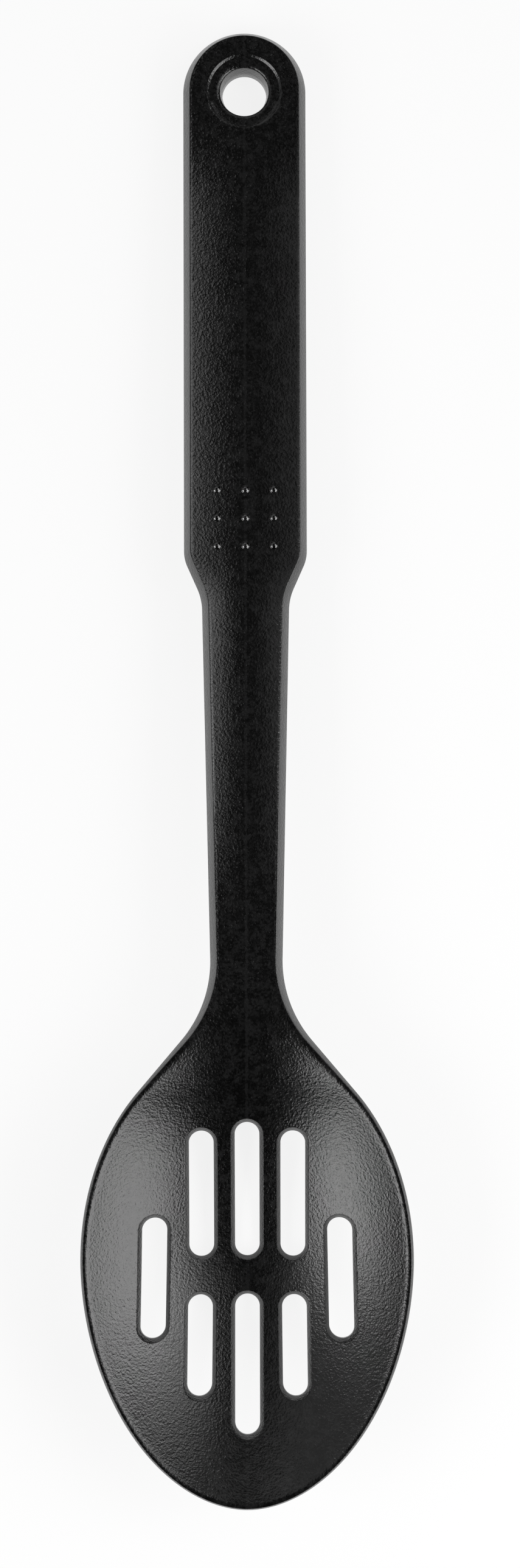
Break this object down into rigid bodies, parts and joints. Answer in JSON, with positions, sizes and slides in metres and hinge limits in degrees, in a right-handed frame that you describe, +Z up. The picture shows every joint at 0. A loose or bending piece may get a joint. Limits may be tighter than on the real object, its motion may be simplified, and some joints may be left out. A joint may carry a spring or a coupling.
{
  "type": "slotted serving spoon",
  "caption": "Long one-piece serving spoon with a flat grip, a round hanging hole, a tapered shank and an egg-shaped bowl cut through by round-ended slots.",
  "frame": {"origin": "middle of the footprint at the surface that the spoon lies on", "axes": "+Y along the spoon towards the hanging end, +X across it to the right, +Z up out of the bowl"},
  "size_m": [0.0706, 0.3152, 0.02],
  "materials": {
    "nylon": "black nylon with a fine spark-eroded matte grain",
    "nylon_dots": "black nylon, smoother on the raised dots"
  },
  "bodies": {
    "root": {"grip": "nylon", "thumb_dots": "nylon_dots", "shank": "nylon", "bowl": "nylon"}
  },
  "joints": []
}
